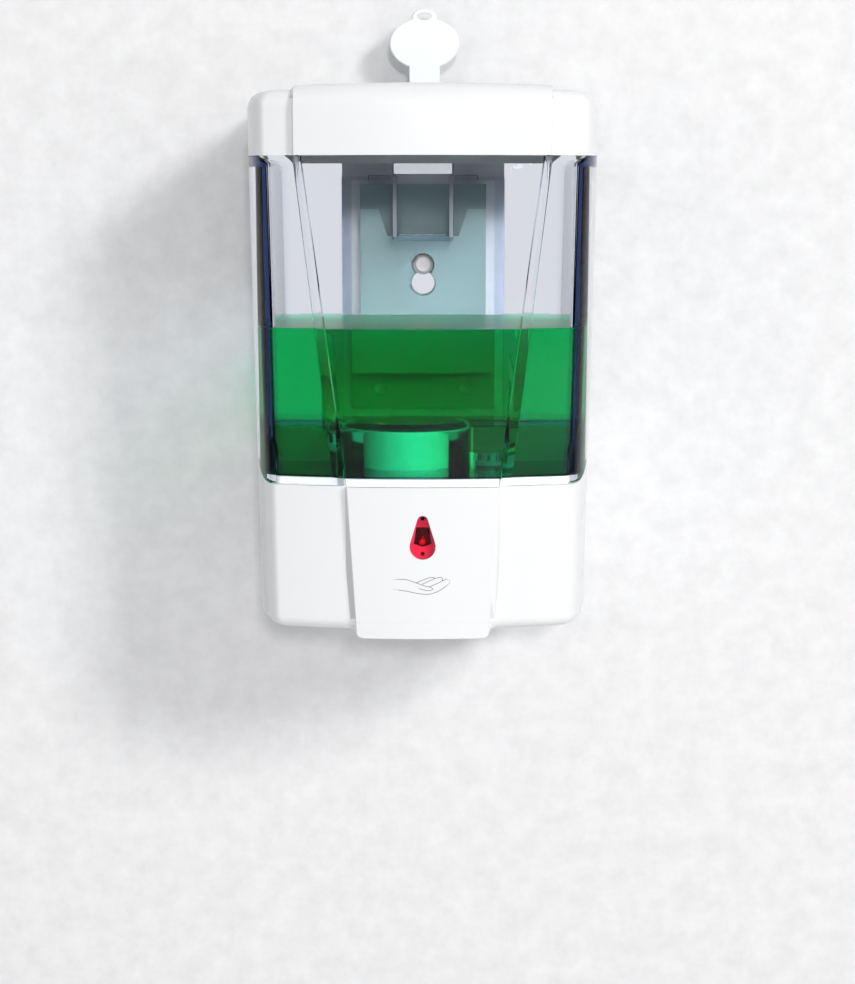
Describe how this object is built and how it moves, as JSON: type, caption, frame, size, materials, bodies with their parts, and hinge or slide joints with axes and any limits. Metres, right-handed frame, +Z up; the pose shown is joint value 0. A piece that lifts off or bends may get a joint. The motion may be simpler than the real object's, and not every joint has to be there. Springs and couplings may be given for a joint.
{
  "type": "wall mounted soap dispenser",
  "caption": "Touch-free wall soap dispenser: clear tank of green soap over a white pump housing, locked lid with key, sensor window and wall bracket.",
  "frame": {"origin": "on the wall face of the wall bracket, on the dispenser's centre line, 48 mm below the bracket's top edge", "axes": "+X to the right as seen from the front, +Y into the wall, +Z up; the front of the dispenser faces -Y"},
  "size_m": [0.1316, 0.134, 0.2363],
  "materials": {
    "bracket_white": "satin",
    "zinc_steel": "satin",
    "plug_nylon": "matte",
    "clear_tank": "gloss",
    "green_soap": "gloss",
    "housing_white": "gloss",
    "seal_rubber": "matte",
    "window_red": "gloss",
    "shroud_grey": "satin",
    "board_green": "satin",
    "led_violet": "gloss",
    "led_black": "gloss",
    "led_red": "gloss",
    "component_dark": "satin",
    "box_dark": "satin",
    "cell_wrap": "gloss",
    "lead_insulation": "satin",
    "switch_black": "satin",
    "motor_can": "satin",
    "ground_steel": "polished",
    "pinion_brass": "satin",
    "plate_grey": "satin",
    "gear_acetal": "satin",
    "roller_nylon": "satin",
    "tube_silicone": "satin",
    "latch_frosted": "satin",
    "key_white": "gloss"
  },
  "bodies": {
    "wall_mount": {"wall_bracket": "bracket_white", "wall_screw": "zinc_steel", "wall_plug": "plug_nylon"},
    "dispenser": {"tank": "clear_tank", "liquid_soap": "green_soap", "tank_outlet": "housing_white", "outlet_seal": "seal_rubber", "chassis": "housing_white", "front_cover": "housing_white", "rear_housing": "housing_white", "case_screws": "zinc_steel", "sensor_window": "window_red", "sensor_shroud": "shroud_grey", "sensor_board": "board_green", "ir_emitter": "led_violet", "ir_receiver": "led_black", "status_led": "led_red", "circuit_board": "board_green", "board_components": "component_dark", "board_screws": "zinc_steel", "battery_box": "box_dark", "battery_1": "cell_wrap", "battery_2": "cell_wrap", "battery_3": "cell_wrap", "battery_4": "cell_wrap", "top_contacts": "zinc_steel", "battery_leads": "lead_insulation", "motor_leads": "lead_insulation", "battery_seal": "seal_rubber", "power_switch": "switch_black", "motor": "motor_can", "gear_plate": "plate_grey", "idler_pin": "ground_steel", "pump_body": "plate_grey", "pump_cover": "plate_grey", "pump_tube": "tube_silicone", "pump_screws": "zinc_steel", "outlet_nozzle": "housing_white", "drip_valve": "tube_silicone", "latch_spring": "ground_steel"},
    "lid": {"lid": "housing_white"},
    "key": {"key": "key_white"},
    "latch": {"lid_latch": "latch_frosted"},
    "battery_door": {"battery_door": "housing_white", "door_contacts": "zinc_steel"},
    "switch_knob": {"switch_knob": "switch_black"},
    "rotor": {"rotor_shaft": "ground_steel", "rotor_gear": "gear_acetal", "pump_rotor": "gear_acetal", "roller_pins": "ground_steel"},
    "idler": {"idler_gear": "gear_acetal"},
    "motor_spindle": {"motor_shaft": "ground_steel", "motor_pinion": "pinion_brass"},
    "roller_1": {"pump_roller_1": "roller_nylon"},
    "roller_2": {"pump_roller_2": "roller_nylon"},
    "roller_3": {"pump_roller_3": "roller_nylon"}
  },
  "joints": [
    {"name": "lift_off", "type": "slide", "parent": "wall_mount", "child": "dispenser", "axis": [0, 0, 1], "range_m": [0, 0.008]},
    {"name": "lid_hinge", "type": "hinge", "parent": "dispenser", "child": "lid", "pos_m": [0, -0.106, 0.058], "axis": [1, 0, 0], "range_deg": [0, 70]},
    {"name": "key_pull", "type": "slide", "parent": "dispenser", "child": "key", "axis": [0, 0, 1], "range_m": [0, 0.05]},
    {"name": "latch_slide", "type": "slide", "parent": "dispenser", "child": "latch", "axis": [0, -1, 0], "range_m": [0, 0.003], "stiffness_N_per_m": 400, "deforming": ["latch_spring"]},
    {"name": "battery_door_hinge", "type": "hinge", "parent": "dispenser", "child": "battery_door", "pos_m": [0, -0.0255, -0.1153], "axis": [-1, 0, 0], "range_deg": [0, 95]},
    {"name": "switch_slide", "type": "slide", "parent": "dispenser", "child": "switch_knob", "axis": [1, 0, 0], "range_m": [0, 0.004]},
    {"name": "rotor_spin", "type": "hinge", "parent": "dispenser", "child": "rotor", "pos_m": [-0.006, -0.07253, -0.097], "axis": [0, 0, 1], "continuous": true},
    {"name": "idler_spin", "type": "hinge", "parent": "dispenser", "child": "idler", "pos_m": [0.00427, -0.06227, -0.085], "axis": [0, 0, 1], "continuous": true},
    {"name": "motor_spin", "type": "hinge", "parent": "dispenser", "child": "motor_spindle", "pos_m": [-0.006, -0.052, -0.08], "axis": [0, 0, 1], "continuous": true},
    {"name": "roller_1_spin", "type": "hinge", "parent": "rotor", "child": "roller_1", "pos_m": [0.00179, -0.06803, -0.097], "axis": [0, 0, 1], "continuous": true},
    {"name": "roller_2_spin", "type": "hinge", "parent": "rotor", "child": "roller_2", "pos_m": [-0.01379, -0.06803, -0.097], "axis": [0, 0, 1], "continuous": true},
    {"name": "roller_3_spin", "type": "hinge", "parent": "rotor", "child": "roller_3", "pos_m": [-0.006, -0.08153, -0.097], "axis": [0, 0, 1], "continuous": true}
  ],
  "couplings": [
    {"joint": "idler_spin", "follows": "rotor_spin", "ratio": -3},
    {"joint": "motor_spin", "follows": "rotor_spin", "ratio": 9},
    {"joint": "roller_1_spin", "follows": "rotor_spin", "ratio": -3.8125},
    {"joint": "roller_2_spin", "follows": "rotor_spin", "ratio": -3.8125},
    {"joint": "roller_3_spin", "follows": "rotor_spin", "ratio": -3.8125}
  ]
}
